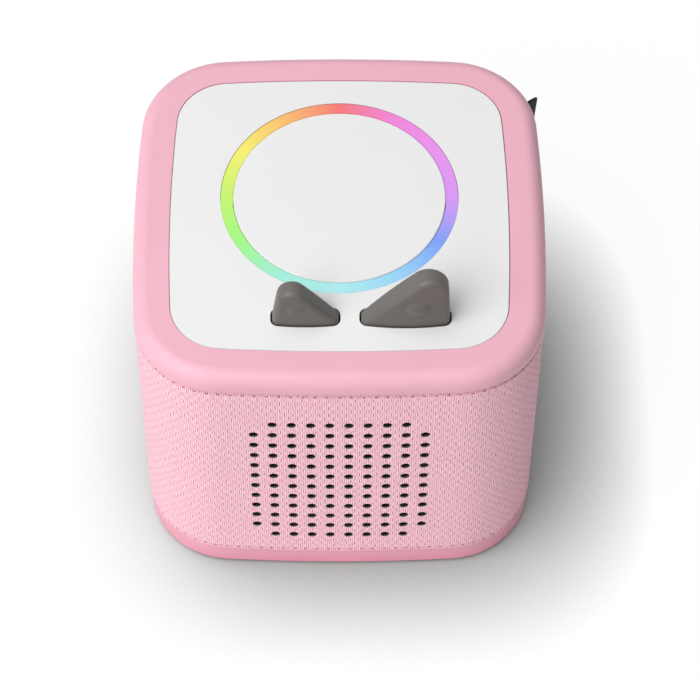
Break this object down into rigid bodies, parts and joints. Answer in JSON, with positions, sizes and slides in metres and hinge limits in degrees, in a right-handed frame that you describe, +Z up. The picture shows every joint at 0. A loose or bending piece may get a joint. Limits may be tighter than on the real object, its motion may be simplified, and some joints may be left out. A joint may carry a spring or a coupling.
{
  "type": "audio story player",
  "caption": "Soft-covered cube speaker for children: a figure stands in the light ring on top, two ear-shaped keys rock to set the volume.",
  "frame": {"origin": "on the floor, below the centre of the body", "axes": "+X to the right, +Y to the back, +Z up; the grille and the ears are towards -Y"},
  "size_m": [0.1221, 0.122, 0.1239],
  "materials": {
    "pink_abs": "satin moulded ABS",
    "pink_knit": "textured knit",
    "white_abs": "fine satin",
    "diffuser": "milky translucent",
    "ear_rubber": "soft matt",
    "foot_rubber": "matt",
    "tag_ribbon": "woven ribbon",
    "inner_plastic": "moulded",
    "steel": "plated",
    "ferrite": "ground",
    "board": "solder mask",
    "chips": "moulded",
    "cone_paper": "pressed",
    "soft_rubber": "matt",
    "grille_cloth": "fine black",
    "battery_film": "shrink film",
    "lead_jacket": "jacket"
  },
  "bodies": {
    "large_ear": {"ear_large_cap": "ear_rubber", "ear_large_lever": "inner_plastic"},
    "small_ear": {"ear_small_cap": "ear_rubber", "ear_small_lever": "inner_plastic"},
    "up_plunger": {"volume_up_plunger": "inner_plastic"},
    "down_plunger": {"volume_down_plunger": "inner_plastic"},
    "power_key": {"power_button": "inner_plastic"},
    "power_switch_plunger": {"power_plunger": "inner_plastic"},
    "speaker_diaphragm": {"speaker_cone": "cone_paper", "voice_coil": "cone_paper", "dust_cap": "cone_paper"},
    "root": {"top_rim": "pink_abs", "base_tray": "pink_abs", "fabric_cover": "pink_knit", "top_plate": "white_abs", "stand_disc": "white_abs", "light_ring": "diffuser", "rubber_feet": "foot_rubber", "side_tag": "tag_ribbon", "mid_shell": "inner_plastic", "deck_carrier": "inner_plastic", "port_bezel": "inner_plastic", "speaker_spider": "inner_plastic", "ear_switches": "inner_plastic", "power_switch": "inner_plastic", "jack_socket": "inner_plastic", "board_connectors": "inner_plastic", "speaker_terminals": "inner_plastic", "base_screws": "steel", "deck_screws": "steel", "board_screws": "steel", "speaker_screws": "steel", "ear_shaft": "steel", "speaker_basket": "steel", "speaker_pole_plate": "steel", "speaker_yoke": "steel", "usb_socket": "steel", "speaker_magnet": "ferrite", "figure_magnet": "ferrite", "main_board": "board", "led_board": "board", "ear_board": "board", "nfc_antenna": "board", "board_chips": "chips", "ring_leds": "chips", "speaker_surround": "soft_rubber", "speaker_gasket": "soft_rubber", "grille_cloth": "grille_cloth", "battery_pack": "battery_film", "speaker_lead": "lead_jacket", "battery_lead": "lead_jacket", "deck_lead": "lead_jacket"}
  },
  "joints": [
    {"name": "large_ear_rock", "type": "hinge", "parent": "root", "child": "large_ear", "pos_m": [0, -0.0381, 0.0975], "axis": [-1, 0, 0], "range_deg": [0, 3], "stiffness_Nm_per_rad": 0.6},
    {"name": "small_ear_rock", "type": "hinge", "parent": "root", "child": "small_ear", "pos_m": [0, -0.0381, 0.0975], "axis": [-1, 0, 0], "range_deg": [0, 3], "stiffness_Nm_per_rad": 0.6},
    {"name": "volume_up_press", "type": "slide", "parent": "root", "child": "up_plunger", "axis": [0, 0, -1], "range_m": [0, 0.0004]},
    {"name": "volume_down_press", "type": "slide", "parent": "root", "child": "down_plunger", "axis": [0, 0, -1], "range_m": [0, 0.0004]},
    {"name": "power_press", "type": "slide", "parent": "root", "child": "power_key", "axis": [0, -1, 0], "range_m": [0, 0.0005], "stiffness_N_per_m": 1500},
    {"name": "power_plunger_press", "type": "slide", "parent": "root", "child": "power_switch_plunger", "axis": [0, -1, 0], "range_m": [0, 0.0005]},
    {"name": "speaker_travel", "type": "slide", "parent": "root", "child": "speaker_diaphragm", "axis": [0, -1, 0], "range_m": [-0.001, 0.001], "stiffness_N_per_m": 1500, "deforming": ["speaker_surround", "speaker_spider"]}
  ],
  "couplings": [
    {"joint": "volume_up_press", "follows": "large_ear_rock", "m_per_rad": 0.006},
    {"joint": "volume_down_press", "follows": "small_ear_rock", "m_per_rad": 0.006},
    {"joint": "power_plunger_press", "follows": "power_press", "ratio": 1}
  ]
}
